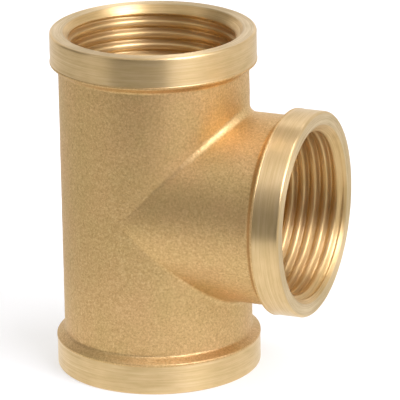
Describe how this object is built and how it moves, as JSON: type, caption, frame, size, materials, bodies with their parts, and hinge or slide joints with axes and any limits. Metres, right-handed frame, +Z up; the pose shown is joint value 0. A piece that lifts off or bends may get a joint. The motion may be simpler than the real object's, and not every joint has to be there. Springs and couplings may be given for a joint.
{
  "type": "pipe tee fitting",
  "caption": "Brass pipe tee: a straight run with a branch at right angles, turned end bands and a female parallel pipe thread in every port",
  "frame": {"origin": "centre of the run's lower end face, the face the tee stands on", "axes": "+Z up along the straight run, out of the upper port; +X out along the branch, out of the side port"},
  "size_m": [0.0523, 0.0394, 0.0664],
  "materials": {
    "brass": "shot-blasted cast skin on the tubes, turned bright metal on the bands, end faces and threads"
  },
  "bodies": {
    "root": {"tee_body": "brass"}
  },
  "joints": []
}
